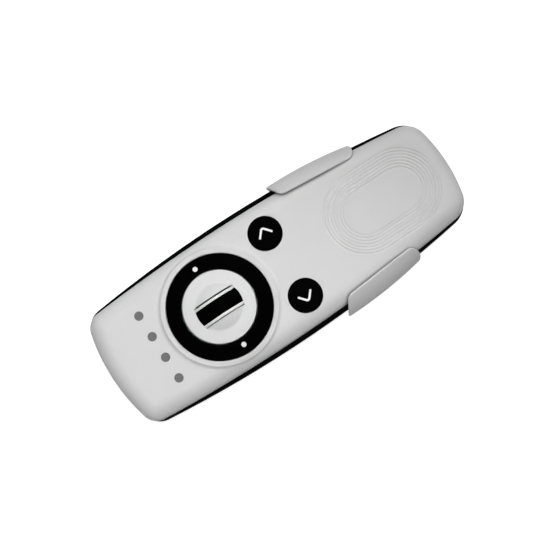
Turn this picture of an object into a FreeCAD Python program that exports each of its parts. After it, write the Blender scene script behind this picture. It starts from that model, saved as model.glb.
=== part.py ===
import FreeCAD, Part
import math
import os
from collections import namedtuple

# Smart remote control lying in its slide-in holder.
# Millimetres. +X runs along the body towards the coil end, +Z comes out of the front face,
# and the origin is the bottom centre of the whole part, on the face that it rests on.

Vector = FreeCAD.Vector
UP = Vector(0, 0, 1)
ALONG = Vector(1, 0, 0)
ACROSS = Vector(0, 1, 0)

# Plan of the body: two bowed long sides, two bowed ends, four rounded corners
Plan = namedtuple("Plan", "half_width widest_x side_radius left_x left_radius left_corner "
                          "right_x right_radius right_corner")
body_length = 120.3
end_setback = 0.3              # the black shell stops short of the front cover at both ends
housing_half_width = 21.93
housing_widest_x = -9.15
housing_side_radius = 400.0
side_ledge = 1.40              # the black shell stands out past the front cover at the sides
cover_half_width = housing_half_width - side_ledge
cover_widest_x = -12.15
cover_side_radius = 520.0
left_end_radius = 60.0
right_end_radius = 52.0
left_corner_radius = 5.3
right_corner_radius = 7.0
housing_corner_extra = 0.8     # the black shell's corners are rounder than the cover's

left_end = -body_length / 2
right_end = body_length / 2
cover_plan = Plan(cover_half_width, cover_widest_x, cover_side_radius,
                  left_end, left_end_radius, left_corner_radius,
                  right_end, right_end_radius, right_corner_radius)
housing_plan = Plan(housing_half_width, housing_widest_x, housing_side_radius,
                    left_end + end_setback, left_end_radius,
                    left_corner_radius + housing_corner_extra,
                    right_end - end_setback, right_end_radius,
                    right_corner_radius + housing_corner_extra)

# Stack of heights, from the resting face up
pad_thickness = 0.8
plate_thickness = 1.4
holder_clearance = 0.25
body_thickness = 15.2
housing_depth = 10.0
seal_thickness = 0.3

back_z = pad_thickness + plate_thickness + holder_clearance
parting_z = back_z + housing_depth
skirt_z = parting_z + seal_thickness
face_z = back_z + body_thickness

# Walls and edges of the two shells
cover_wall = 1.8
cover_front_wall = 1.6
cover_edge_radius = 5.2        # taller than the cover, so that the foot of its side leans in a little
cover_droop = 0.8              # the face sinks this much towards the left end
cover_droop_length = 9.0
housing_wall = 1.6
housing_floor = 1.4
housing_rim = 3.2
housing_rim_depth = 2.0
housing_back_radius = 5.5
housing_lip_radius = 0.6
cover_inner_z = face_z - cover_front_wall
floor_z = back_z + housing_floor

# Dial: plateau, rocker ring and centre disc share one upright axis
dial_from_left = 39.0
dial_x = left_end + dial_from_left
dial_side_margin = 4.22        # from the well to the widest side of the front cover
well_radius = cover_half_width - dial_side_margin
well_lip = 0.35
plateau_band = 1.79
plateau_radius = well_radius + plateau_band
plateau_rise = 0.85
plateau_rim_radius = 0.35
plateau_foot_radius = 1.2
ring_gap = 0.26
ring_outer_radius = well_radius - ring_gap
ring_inner_gap = 0.36
ring_band = 5.12               # from the well's wall to the centre disc
disc_radius = well_radius - ring_band
ring_inner_radius = disc_radius + ring_inner_gap
ring_climb = 2.15              # the ring rises this much from its rim to the disc
ring_crown = 0.25
ring_skin = 1.5
ring_tube_wall = 1.2
ring_flange_width = 1.05
ring_flange_thickness = 1.0
ring_edge_radius = 0.3
plateau_z = face_z + plateau_rise
ring_sink = 0.15               # the ring's rim lies this far below the plateau
ring_rim_z = plateau_z - ring_sink
dot_radius = 0.78
dot_margin = 2.28              # from the centre disc to the middle of each white mark
dot_offset = disc_radius + dot_margin
dot_depth = 0.5

# Thumb wheel
wheel_radius = 9.5
wheel_floor_gap = 0.35
tread_width = 4.8
tread_thickness = 1.2
tread_edge_radius = 0.3
hub_width = 6.6
shoulder_inset = 0.12          # the shoulders stand a little lower than the tread
shoulder_radius = 0.4
hub_rim_thickness = 1.3
hub_web = 1.8
hub_boss_radius = 2.4
axle_radius = 1.0
running_clearance = 0.05
wheel_z = floor_z + wheel_floor_gap + wheel_radius
slot_gap = 0.25
slot_half_width = hub_width / 2 + slot_gap
slot_end_margin = 3.82
slot_end_radius = disc_radius - slot_end_margin
wheel_relief = 0.4

# Centre disc with the raised cowl round the wheel
disc_lift = 0.05               # the disc's edge lies this far above the ring's
disc_edge_z = ring_rim_z + ring_climb + disc_lift
disc_dome_rise = 0.65
disc_skin = 1.3
disc_skirt_wall = 1.2
disc_edge_radius = 0.3
cowl_radius = 12.0
cowl_margin = 4.19
cowl_foot_radius = disc_radius - cowl_margin
cowl_blend = 1.6

# Circuit board and its posts
board_depth = 1.2              # underside of the board below the parting plane
board_thickness = 1.0
board_margin = 0.3             # between the board and the rim of the black shell
board_from_left = 10.5
board_from_right = 20.3
board_left_x = left_end + board_from_left
board_right_x = right_end - board_from_right
left_screws_from_end = 21.5
left_screws_from_side = 6.95
right_screws_from_end = 48.3
right_screws_from_side = 6.55
board_screw_places = [
    (x, side * y)
    for x, y in ((left_end + left_screws_from_end, housing_half_width - left_screws_from_side),
                 (right_end - right_screws_from_end, housing_half_width - right_screws_from_side))
    for side in (1, -1)]
board_post_radius = 2.2
board_screw_radius = 0.7
board_screw_head_radius = 1.5
board_screw_head_height = 0.9
board_screw_length = 5.0
board_hole_clearance = 0.3
board_z = parting_z - board_depth
board_top_z = board_z + board_thickness

# Round push buttons
button_from_dial = 23.5
button_x = dial_x + button_from_dial
button_side_margin = 9.38
button_y = cover_half_width - button_side_margin
button_hole_radius = 5.33
button_gap = 0.25
button_proud = 0.5
button_edge_radius = 0.6
button_flange_width = 0.92
button_flange_thickness = 1.0
button_top_gap = 0.25
button_travel = 0.7
button_stem_radius = 2.0
stem_root = 0.5                # overlap of the stem with the cap above it
dome_squeezed = 1.05           # height left when the button is fully pressed
dome_height = dome_squeezed + button_travel
dome_foot_radius = 3.1
dome_top_radius = 1.9
chevron_half_width = 2.07
chevron_height = 2.45
chevron_base = -0.5
chevron_stroke = 0.62
chevron_bend = 0.6
chevron_depth = 0.35

# Row of lamp windows
lamp_from_left = 17.1
lamp_x = left_end + lamp_from_left
lamp_side_margin = 9.43        # from the outermost lamp to the widest side of the front cover
lamp_count = 4
lamp_pitch = 2 * (cover_half_width - lamp_side_margin) / (lamp_count - 1)
lamp_radius = 1.43
lamp_clearance = 0.03
lamp_collar_width = 0.45
lamp_collar_height = 0.85
lamp_proud = 0.05
lamp_gap = 0.35
led_length = 2.0
led_width = 1.25
led_height = 0.7

# Rocker ring bearings and switches
trunnion_radius = 0.8
trunnion_reach = 1.9
cradle_gap = 0.5
cradle_block_width = 3.6
cradle_block_length = 1.6
cradle_plate = 0.8
cradle_inner_gap = 0.6
cradle_ring_width = 1.6
bearing_wall = 0.55
rocker_bottom_gap = 1.85       # underside of the ring above the board
switch_inset = 0.45
switch_offset = ring_outer_radius - switch_inset
switch_size = 3.2
switch_height = 1.0
plunger_radius = 0.8
plunger_height = 0.25

# Wheel bearings
bracket_width = 4.4
bracket_thickness = 2.2
encoder_width = 9.0
encoder_margin = 3.04          # keeps the encoder inside the centre disc's skirt
encoder_thickness = disc_radius - slot_half_width - encoder_margin
encoder_height = 6.2
encoder_back = 1.5
axle_bite = encoder_thickness - encoder_back
axle_end_play = 0.2

# Racetrack relief over the coil, and the coil below it
coil_side_margin = 7.93
coil_end_margin = 4.25
coil_half_height = cover_half_width - coil_side_margin
coil_straight = 12.1
coil_x = right_end - coil_end_margin - coil_half_height - coil_straight / 2
relief_count = 7
relief_pitch = 0.94
relief_round = 0.42            # radius of each groove's section
relief_depth = 0.14
coil_margin = 0.8
coil_band = 5.4
coil_thickness = 0.5
ferrite_margin = 0.4
ferrite_thickness = 0.5

# Battery and electronics
battery_from_right = 23.3
battery_length = 34.0
battery_x = right_end - battery_from_right - battery_length / 2
battery_side_margin = 9.75
battery_width = 2 * (housing_half_width - battery_side_margin)
battery_height = 5.8
battery_fold = 1.2
module_from_right = 35.3
module_x = right_end - module_from_right
module_length = 16.0
module_width = 12.0
module_height = 1.6
connector_length = 6.0
connector_gap = 8.0            # room for the leads between the socket and the cell
connector_x = battery_x - battery_length / 2 - connector_gap - connector_length / 2
connector_offset = 1.0
connector_y = battery_width / 2 + connector_offset
connector_width = 4.5
connector_height = 3.0

# Housing screws
end_screws_from_end = 7.0
end_screws_from_side = 10.25
coil_screw_from_end = 14.8
end_screw_y = housing_half_width - end_screws_from_side
housing_screw_places = [(left_end + end_screws_from_end, end_screw_y),
                        (left_end + end_screws_from_end, -end_screw_y),
                        (right_end - coil_screw_from_end, 0.0)]
housing_boss_radius = 2.9
cover_boss_radius = 2.4
screw_head_radius = 1.9
screw_head_height = 1.3
screw_recess_gap = 0.3
screw_recess_depth = 2.0
screw_shank_radius = 0.8
screw_hole_clearance = 0.25
pilot_clearance = 0.05
pilot_spare = 0.4              # depth of the pilot hole beyond the screw's tip
screw_bite = 2.6
boss_root = 0.2                # overlap of a boss with the wall that it grows from

# Seal between the shells
seal_inset = 0.8
seal_width = 0.8

# Holder: gripping arms, back plate and adhesive pad
arm_wall = 1.6
arm_rise = 2.7                 # crown of the arm's rounded outside above the front face
arm_front_radius = 12.0
arm_back_radius = 6.0
arm_depth = 14.0               # width of the bar that each arm is cut from
arm_length = 28.6
arm_from_right = 21.9
arm_right_x = right_end - arm_from_right
arm_left_x = arm_right_x - arm_length
arm_widest_x = arm_left_x + 0.9
arm_side_radius = 135.0
arm_tail = 1.0                 # the right end's outer corner is cut back by this much
arm_tail_radius = 1.6
arm_slant = 3.4
lip_reach_left = 1.75          # the lips cover this much of the front cover's edge
lip_reach_right = 2.12
arm_corner_radius = 2.7
lip_round = 0.4
bridge_overlap = 0.75
bridge_end_radius = 1.2
plate_from_left = 30.0
plate_from_right = 19.3
plate_left_x = left_end + plate_from_left
plate_right_x = right_end - plate_from_right
plate_half_width = 13.0
plate_corner = 5.0
pad_border = 3.0
pad_corner = 3.0


def on_dial(radius, height, angle=0.0):
    """Point at a radius and height about the dial's axis."""
    return Vector(dial_x + radius * math.cos(angle), radius * math.sin(angle), height)


def cylinder(radius, bottom, top, x=0.0, y=0.0):
    """Upright cylinder between two heights."""
    return Part.makeCylinder(radius, top - bottom, Vector(x, y, bottom), UP)


def block(x0, x1, y0, y1, z0, z1):
    """Rectangular block between its corner coordinates."""
    return Part.makeBox(x1 - x0, y1 - y0, z1 - z0, Vector(x0, y0, z0))


def annulus(inner, outer, bottom, top, x=0.0, y=0.0):
    """Flat ring about an upright axis."""
    return cylinder(outer, bottom, top, x, y).cut(cylinder(inner, bottom, top, x, y))


def circle_meet(centre_a, radius_a, centre_b, radius_b):
    """Both crossing points of two circles in a plane, as (x, y) pairs."""
    gap_x = centre_b[0] - centre_a[0]
    gap_y = centre_b[1] - centre_a[1]
    gap = math.hypot(gap_x, gap_y)
    reach = (radius_a ** 2 - radius_b ** 2 + gap ** 2) / (2 * gap)
    rise = math.sqrt(radius_a ** 2 - reach ** 2)
    foot_x = centre_a[0] + reach * gap_x / gap
    foot_y = centre_a[1] + reach * gap_y / gap
    return [(foot_x + sign * rise * gap_y / gap, foot_y - sign * rise * gap_x / gap)
            for sign in (1, -1)]


def away_from(centre, point, radius):
    """Point at a radius from a centre, in the direction of another point."""
    length = math.hypot(point[0] - centre[0], point[1] - centre[1])
    return (centre[0] + (point[0] - centre[0]) / length * radius,
            centre[1] + (point[1] - centre[1]) / length * radius)


def side_y(plan, x):
    """Half width of the plan at one place along its bowed side."""
    return plan.half_width - plan.side_radius + math.sqrt(
        plan.side_radius ** 2 - (x - plan.widest_x) ** 2)


def corner_points(plan, inset, side):
    """Start, middle and end of one rounded corner of the plan, from the long side to the end."""
    corner = plan.right_corner if side > 0 else plan.left_corner
    end_x = plan.right_x if side > 0 else plan.left_x
    end_radius = plan.right_radius if side > 0 else plan.left_radius
    smallest = 0.4
    corner = max(corner - inset, smallest)
    side_centre = (plan.widest_x, plan.half_width - plan.side_radius)
    end_centre = (end_x - side * end_radius, 0.0)
    side_reach = plan.side_radius - inset
    end_reach = end_radius - inset
    choices = circle_meet(side_centre, side_reach - corner, end_centre, end_reach - corner)
    centre = max(choices, key=lambda point: (point[1] > 0, side * point[0]))
    start = away_from(side_centre, centre, side_reach)
    end = away_from(end_centre, centre, end_reach)
    middle = away_from(centre, ((start[0] + end[0]) / 2, (start[1] + end[1]) / 2), corner)
    return start, middle, end


def plan_wire(plan, inset, height):
    """Closed outline of the body, moved inwards by the inset."""
    def spot(point, flip=1):
        return Vector(point[0], flip * point[1], height)

    right = corner_points(plan, inset, 1)
    left = corner_points(plan, inset, -1)
    top_middle = Vector(plan.widest_x, plan.half_width - inset, height)
    bottom_middle = Vector(plan.widest_x, inset - plan.half_width, height)
    right_middle = Vector(plan.right_x - inset, 0, height)
    left_middle = Vector(plan.left_x + inset, 0, height)
    arcs = [
        (spot(left[0]), top_middle, spot(right[0])),
        (spot(right[0]), spot(right[1]), spot(right[2])),
        (spot(right[2]), right_middle, spot(right[2], -1)),
        (spot(right[2], -1), spot(right[1], -1), spot(right[0], -1)),
        (spot(right[0], -1), bottom_middle, spot(left[0], -1)),
        (spot(left[0], -1), spot(left[1], -1), spot(left[2], -1)),
        (spot(left[2], -1), left_middle, spot(left[2])),
        (spot(left[2]), spot(left[1]), spot(left[0])),
    ]
    return Part.Wire([Part.Arc(*points).toShape() for points in arcs])


def edges_at(shape, height, tolerance=1e-4):
    """Edges of a shape that lie flat at one height."""
    found = []
    for edge in shape.Edges:
        box = edge.BoundBox
        if abs(box.ZMin - height) < tolerance and abs(box.ZMax - height) < tolerance:
            found.append(edge)
    return found


def plan_slab(plan, inset, bottom, top, top_radius=0.0, bottom_radius=0.0):
    """Block with the body's plan and rounded top or bottom edges."""
    slab = Part.Face(plan_wire(plan, inset, bottom)).extrude(UP * (top - bottom))
    if top_radius > 0:
        slab = slab.makeFillet(top_radius, edges_at(slab, top))
    if bottom_radius > 0:
        slab = slab.makeFillet(bottom_radius, edges_at(slab, bottom))
    return slab


def rounded_outline(points, radii, height):
    """Closed wire through points, each corner rounded by its own radius."""
    count = len(points)
    starts = []
    edges = []
    for index in range(count):
        before = Vector(points[index - 1][0], points[index - 1][1], height)
        here = Vector(points[index][0], points[index][1], height)
        after = Vector(points[(index + 1) % count][0], points[(index + 1) % count][1], height)
        back = (before - here).normalize()
        ahead = (after - here).normalize()
        half_angle = back.getAngle(ahead) / 2
        reach = radii[index] / math.tan(half_angle)
        bisector = (back + ahead).normalize()
        centre = here + bisector * (radii[index] / math.sin(half_angle))
        starts.append((here + back * reach, centre - bisector * radii[index], here + ahead * reach))
    for index in range(count):
        first, middle, last = starts[index]
        edges.append(Part.Arc(first, middle, last).toShape())
        following = starts[(index + 1) % count][0]
        edges.append(Part.makeLine(last, following))
    return Part.Wire(edges)


def rounded_box(x0, x1, y0, y1, z0, z1, corner):
    """Block with rounded upright corners."""
    wire = rounded_outline([(x0, y0), (x1, y0), (x1, y1), (x0, y1)], [corner] * 4, z0)
    return Part.Face(wire).extrude(UP * (z1 - z0))


def racetrack(half_height, straight, bottom, top):
    """Solid racetrack about the coil's centre."""
    half = straight / 2
    left = Vector(coil_x - half, half_height, bottom)
    right = Vector(coil_x + half, half_height, bottom)
    left_low = Vector(coil_x - half, -half_height, bottom)
    right_low = Vector(coil_x + half, -half_height, bottom)
    wire = Part.Wire([
        Part.makeLine(left, right),
        Part.Arc(right, Vector(coil_x + half + half_height, 0, bottom), right_low).toShape(),
        Part.makeLine(right_low, left_low),
        Part.Arc(left_low, Vector(coil_x - half - half_height, 0, bottom), left).toShape(),
    ])
    return Part.Face(wire).extrude(UP * (top - bottom))


def racetrack_ring(outer, width, bottom, top):
    """Racetrack band of a given width, measured inwards from its outer half height."""
    return racetrack(outer, coil_straight, bottom, top).cut(
        racetrack(outer - width, coil_straight, bottom, top))


def spun(points_and_arcs):
    """Solid of revolution about the dial's axis from (radius, height) lines and arcs."""
    edges = []
    for item in points_and_arcs:
        ends = [on_dial(radius, height) for radius, height in item]
        if len(ends) == 2:
            edges.append(Part.makeLine(ends[0], ends[1]))
        else:
            edges.append(Part.Arc(ends[0], ends[1], ends[2]).toShape())
    return Part.Face(Part.Wire(edges)).revolve(on_dial(0, 0), UP, 360)


def save(shape, name):
    """Write one piece, and say what it is made of."""
    shape.exportStep("parts/%s.step" % name)
    print("%-22s %2d solid %9.1f mm3 valid %s" % (name, len(shape.Solids), shape.Volume,
                                                 shape.isValid()))


def only(shape):
    """The single solid that a boolean result holds."""
    return max(shape.Solids, key=lambda solid: solid.Volume)


# Front cover

def edge_points(edge):
    """Five points spread along an edge."""
    start = edge.FirstParameter
    span = edge.LastParameter - start
    return [edge.valueAt(start + span * step / 4) for step in range(5)]


def edges_round_dial(shape, radius, wanted):
    """Edges at one radius about the dial's axis, with every point accepted by a test."""
    def fits(point):
        return abs(math.hypot(point.x - dial_x, point.y) - radius) < 1e-3 and wanted(point)

    return [edge for edge in shape.Edges if all(fits(point) for point in edge_points(edge))]


def drooping_face():
    """Block with the front cover's plan, whose face bends down towards the left end."""
    slab = plan_slab(cover_plan, 0, board_top_z, face_z)
    droop_x = left_end + cover_droop_length
    radius = (cover_droop_length ** 2 + cover_droop ** 2) / (2 * cover_droop)
    roll = Part.makeCylinder(radius, 4 * cover_half_width,
                             Vector(droop_x, -2 * cover_half_width, face_z - radius), ACROSS)
    above = block(left_end - cover_droop, droop_x, -2 * cover_half_width, 2 * cover_half_width,
                  face_z - 2 * cover_droop, face_z + cover_droop).cut(roll)
    slab = slab.cut(above)
    outline = [edge for edge in slab.Edges
               if edge.BoundBox.ZMin > face_z - 2 * cover_droop and edge.BoundBox.XLength > 1e-3]
    return slab.makeFillet(cover_edge_radius, outline)


def cover_envelope():
    """Outside of the front cover with no openings: rounded shoulders and the dial's plateau."""
    shell = drooping_face()
    raised = plan_slab(cover_plan, 0, board_top_z, plateau_z, top_radius=cover_edge_radius)
    table = cylinder(plateau_radius, cover_inner_z, plateau_z + 1, dial_x).common(raised)
    body = shell.fuse(table)

    def lift(point):
        return shell.distToShape(Part.Vertex(point))[0]

    rim = edges_round_dial(body, plateau_radius, lambda point: lift(point) > plateau_rise / 3)
    body = body.makeFillet(plateau_rim_radius, rim)
    foot = edges_round_dial(body, plateau_radius, lambda point: lift(point) < 1e-3)
    body = body.makeFillet(plateau_foot_radius, foot)
    return body.cut(block(2 * left_end, 2 * right_end, 2 * left_end, 2 * right_end, 0, skirt_z))


def relief_grooves():
    """Fine racetrack grooves of the relief over the coil, each with a round section."""
    height = face_z - relief_depth + relief_round
    grooves = []
    for index in range(relief_count):
        radius = coil_half_height - index * relief_pitch
        half_turn = Part.makeTorus(radius, relief_round, Vector(0, 0, 0), UP, 0, 360, 180)
        for side in (1, -1):
            turn = half_turn.copy()
            turn.rotate(Vector(0, 0, 0), UP, -side * 90)
            turn.translate(Vector(coil_x + side * coil_straight / 2, 0, height))
            straight = Part.makeCylinder(relief_round, coil_straight,
                                         Vector(coil_x - coil_straight / 2, side * radius, height),
                                         ALONG)
            grooves += [turn, straight]
    return grooves


def lamp_places():
    """Centres of the row of lamps across the body."""
    first = -(lamp_count - 1) / 2 * lamp_pitch
    return [(lamp_x, first + index * lamp_pitch) for index in range(lamp_count)]


def button_places():
    """Name, centre and outward direction of both push buttons."""
    return [("upper", button_y, 1), ("lower", -button_y, -1)]


def front_cover():
    """Light grey front shell."""
    cavity = plan_slab(cover_plan, cover_wall, skirt_z - 1, cover_inner_z,
                       top_radius=cover_front_wall)
    shell = cover_envelope().cut(cavity)
    for x, y in housing_screw_places:
        shell = shell.fuse(cylinder(cover_boss_radius, parting_z, cover_inner_z + boss_root, x, y))
    openings = [cylinder(well_radius, parting_z, plateau_z + 1, dial_x)]
    for _, y, _ in button_places():
        openings.append(cylinder(button_hole_radius, parting_z, plateau_z, button_x, y))
    for x, y in lamp_places():
        openings.append(cylinder(lamp_radius, parting_z, plateau_z, x, y))
    for x, y in housing_screw_places:
        openings.append(cylinder(screw_shank_radius + pilot_clearance, parting_z - 1,
                                 skirt_z + screw_bite + pilot_spare, x, y))
    shell = shell.cut(openings + relief_grooves())
    rim = edges_round_dial(shell, well_radius, lambda point: point.z > face_z)
    return only(shell.makeFillet(well_lip, rim))


# Black rear housing

def rear_housing():
    """Black rear shell with its board posts and screw bosses."""
    shell = plan_slab(housing_plan, 0, back_z, parting_z, top_radius=housing_lip_radius,
                      bottom_radius=housing_back_radius)
    low = plan_slab(housing_plan, housing_wall, floor_z, parting_z - housing_rim_depth,
                    bottom_radius=housing_back_radius - housing_wall)
    mouth = plan_slab(housing_plan, housing_rim, floor_z + housing_back_radius, parting_z + 1)
    shell = shell.cut([low, mouth])
    posts = [cylinder(board_post_radius, floor_z - boss_root, board_z, x, y)
             for x, y in board_screw_places]
    posts += [cylinder(housing_boss_radius, floor_z - boss_root, parting_z, x, y)
              for x, y in housing_screw_places]
    shell = shell.fuse(posts)
    holes = [cylinder(board_screw_radius + pilot_clearance, board_z - board_screw_length, board_z, x, y)
             for x, y in board_screw_places]
    for x, y in housing_screw_places:
        holes.append(cylinder(screw_head_radius + screw_recess_gap, back_z - 1,
                              back_z + screw_recess_depth, x, y))
        holes.append(cylinder(screw_shank_radius + screw_hole_clearance, back_z, parting_z + 1, x, y))
    return only(shell.cut(holes))


def housing_seal():
    """Thin seal that lies on the rim between the two shells."""
    outer = plan_slab(cover_plan, seal_inset, parting_z, skirt_z)
    inner = plan_slab(cover_plan, seal_inset + seal_width, parting_z, skirt_z)
    return outer.cut(inner)


def screws(places, head_radius, head_height, shank_radius, seat_z, length, head_up):
    """Group of identical screws, heads up or down, seated at one height."""
    pieces = []
    for x, y in places:
        if head_up:
            head = cylinder(head_radius, seat_z, seat_z + head_height, x, y)
            shank = cylinder(shank_radius, seat_z - length, seat_z, x, y)
        else:
            head = cylinder(head_radius, seat_z - head_height, seat_z, x, y)
            shank = cylinder(shank_radius, seat_z, seat_z + length, x, y)
        pieces.append(only(head.fuse(shank).removeSplitter()))
    return Part.makeCompound(pieces)


# Dial

def rocker_ring():
    """Black ring that tilts about the body's long axis on two trunnions."""
    bottom = board_top_z + rocker_bottom_gap
    flange_top = bottom + ring_flange_thickness
    tube_inner = ring_outer_radius - ring_tube_wall
    flange_outer = ring_outer_radius + ring_flange_width
    inner_z = ring_rim_z + ring_climb
    middle = ((ring_outer_radius + ring_inner_radius) / 2, (ring_rim_z + inner_z) / 2 + ring_crown)
    ring = spun([
        [(ring_outer_radius, ring_rim_z), middle, (ring_inner_radius, inner_z)],
        [(ring_inner_radius, inner_z), (ring_inner_radius, inner_z - ring_skin)],
        [(ring_inner_radius, inner_z - ring_skin), (tube_inner, ring_rim_z - ring_skin)],
        [(tube_inner, ring_rim_z - ring_skin), (tube_inner, bottom)],
        [(tube_inner, bottom), (flange_outer, bottom)],
        [(flange_outer, bottom), (flange_outer, flange_top)],
        [(flange_outer, flange_top), (ring_outer_radius, flange_top)],
        [(ring_outer_radius, flange_top), (ring_outer_radius, ring_rim_z)],
    ])
    edges = edges_at(ring, ring_rim_z) + edges_at(ring, inner_z)
    ring = ring.makeFillet(ring_edge_radius, edges)
    pivot_z = bottom + ring_flange_thickness / 2
    start = (tube_inner + ring_outer_radius) / 2
    length = flange_outer + trunnion_reach - start
    for side in (1, -1):
        root = Vector(dial_x + side * start, 0, pivot_z)
        ring = ring.fuse(Part.makeCylinder(trunnion_radius, length, root, ALONG * side))
    return only(ring)


def ring_and_dots():
    """The ring with its two white marks inlaid."""
    ring = rocker_ring()
    dots = {}
    for name, side in (("ring_dot_upper", 1), ("ring_dot_lower", -1)):
        level = ring_rim_z + ring_climb / 2
        plug = cylinder(dot_radius, level - dot_depth, level + ring_climb, dial_x, side * dot_offset)
        dots[name] = only(ring.common(plug))
        ring = ring.cut(plug)
    return only(ring), dots


def disc_profile():
    """Heights of the centre disc's skin: dome, blend and cowl as arcs about the axis."""
    dome_radius = (disc_radius ** 2 + disc_dome_rise ** 2) / (2 * disc_dome_rise)
    dome_centre = disc_edge_z + disc_dome_rise - dome_radius
    foot_z = dome_centre + math.sqrt(dome_radius ** 2 - cowl_foot_radius ** 2)
    cowl_centre = foot_z - math.sqrt(cowl_radius ** 2 - cowl_foot_radius ** 2)
    choices = circle_meet((0, dome_centre), dome_radius + cowl_blend,
                          (0, cowl_centre), cowl_radius + cowl_blend)
    blend_centre = max(choices)
    blend_low = away_from((0, dome_centre), blend_centre, dome_radius)
    blend_high = away_from((0, cowl_centre), blend_centre, cowl_radius)
    chord = ((blend_low[0] + blend_high[0]) / 2, (blend_low[1] + blend_high[1]) / 2)
    blend_mid = away_from(blend_centre, chord, cowl_blend)
    outer_mid_r = (disc_radius + blend_low[0]) / 2
    outer_mid = (outer_mid_r, dome_centre + math.sqrt(dome_radius ** 2 - outer_mid_r ** 2))
    cowl_mid_r = blend_high[0] / 2
    cowl_mid = (cowl_mid_r, cowl_centre + math.sqrt(cowl_radius ** 2 - cowl_mid_r ** 2))
    cowl_top = (0, cowl_centre + cowl_radius)
    return outer_mid, blend_low, blend_mid, blend_high, cowl_mid, cowl_top


def wheel_cylinder(radius, half_width):
    """Drum about the wheel's axis."""
    return Part.makeCylinder(radius, 2 * half_width, Vector(dial_x, -half_width, wheel_z), ACROSS)


def dial_disc():
    """Light grey centre cap: domed, with a raised cowl and the slot for the thumb wheel."""
    outer_mid, blend_low, blend_mid, blend_high, cowl_mid, cowl_top = disc_profile()
    inner_r = disc_radius - disc_skirt_wall
    roof_z = disc_edge_z - disc_skin
    cap = spun([
        [(disc_radius, disc_edge_z), outer_mid, blend_low],
        [blend_low, blend_mid, blend_high],
        [blend_high, cowl_mid, cowl_top],
        [cowl_top, (0, roof_z + disc_dome_rise)],
        [(0, roof_z + disc_dome_rise), (inner_r - disc_skin, roof_z + disc_dome_rise)],
        [(inner_r - disc_skin, roof_z + disc_dome_rise), (inner_r, roof_z)],
        [(inner_r, roof_z), (inner_r, board_top_z)],
        [(inner_r, board_top_z), (disc_radius, board_top_z)],
        [(disc_radius, board_top_z), (disc_radius, disc_edge_z)],
    ])
    cap = cap.makeFillet(disc_edge_radius, edges_at(cap, disc_edge_z))
    slot = cylinder(slot_end_radius, board_top_z, cowl_top[1] + 1, dial_x)
    slot = slot.common(block(dial_x - disc_radius, dial_x + disc_radius, -slot_half_width,
                             slot_half_width, roof_z - 1, cowl_top[1] + 1))
    relief = wheel_cylinder(wheel_radius + wheel_relief, slot_half_width)
    return only(cap.cut(slot.fuse(relief)))


# Thumb wheel

def wheel_spun(points_and_arcs):
    """Solid of revolution about the wheel's axis from (radius, across) lines and arcs."""
    edges = []
    for item in points_and_arcs:
        ends = [Vector(dial_x, across, wheel_z + radius) for radius, across in item]
        edges.append(Part.makeLine(ends[0], ends[1]))
    return Part.Face(Part.Wire(edges)).revolve(Vector(dial_x, 0, wheel_z), ACROSS, 360)


def closed_lines(points):
    """Pairs of neighbouring points round a closed outline."""
    return [[points[index], points[(index + 1) % len(points)]] for index in range(len(points))]


def drum_edges(shape, radius):
    """Circular edges of a shape that have one radius."""
    return [edge for edge in shape.Edges
            if isinstance(edge.Curve, Part.Circle) and abs(edge.Curve.Radius - radius) < 1e-4]


def wheel_tread():
    """Black rubber tyre of the wheel."""
    half = tread_width / 2
    inner = wheel_radius - tread_thickness
    tyre = wheel_spun(closed_lines([(inner, -half), (wheel_radius, -half), (wheel_radius, half),
                                    (inner, half)]))
    return only(tyre.makeFillet(tread_edge_radius, drum_edges(tyre, wheel_radius)))


def wheel_hub():
    """Light grey wheel: two shoulders that hold the tyre, a rim, a web and a boss."""
    half = hub_width / 2
    tread_half = tread_width / 2
    web_half = hub_web / 2
    seat = wheel_radius - tread_thickness
    shoulder = wheel_radius - shoulder_inset
    rim_inner = seat - hub_rim_thickness
    hub = wheel_spun(closed_lines([
        (axle_radius, half), (hub_boss_radius, half), (hub_boss_radius, web_half),
        (rim_inner, web_half), (rim_inner, half), (shoulder, half), (shoulder, tread_half),
        (seat, tread_half), (seat, -tread_half), (shoulder, -tread_half), (shoulder, -half),
        (rim_inner, -half), (rim_inner, -web_half), (hub_boss_radius, -web_half),
        (hub_boss_radius, -half), (axle_radius, -half),
    ]))
    outer = [edge for edge in drum_edges(hub, shoulder)
             if abs(abs(edge.Curve.Center.y) - half) < 1e-4]
    return only(hub.makeFillet(shoulder_radius, outer))


def wheel_axle():
    """Steel pin through the hub, carried by the bracket and the encoder."""
    low = -slot_half_width - axle_bite
    high = slot_half_width + bracket_thickness + axle_end_play
    return Part.makeCylinder(axle_radius, high - low, Vector(dial_x, low, wheel_z), ACROSS)


def axle_hole(y0, y1):
    """Bearing hole for the wheel's axle between two places across."""
    return Part.makeCylinder(axle_radius + running_clearance, y1 - y0, Vector(dial_x, y0, wheel_z),
                             ACROSS)


def axle_bracket():
    """Bearing block with a rounded head on the upper side of the wheel."""
    half = bracket_width / 2
    y0 = slot_half_width
    y1 = y0 + bracket_thickness
    post = block(dial_x - half, dial_x + half, y0, y1, board_top_z, wheel_z)
    head = Part.makeCylinder(half, bracket_thickness, Vector(dial_x, y0, wheel_z), ACROSS)
    head = head.common(block(dial_x - half, dial_x + half, y0, y1, board_top_z, wheel_z + half))
    return only(post.fuse(head).cut(axle_hole(y0 - 1, y1 + 1)).removeSplitter())


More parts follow.
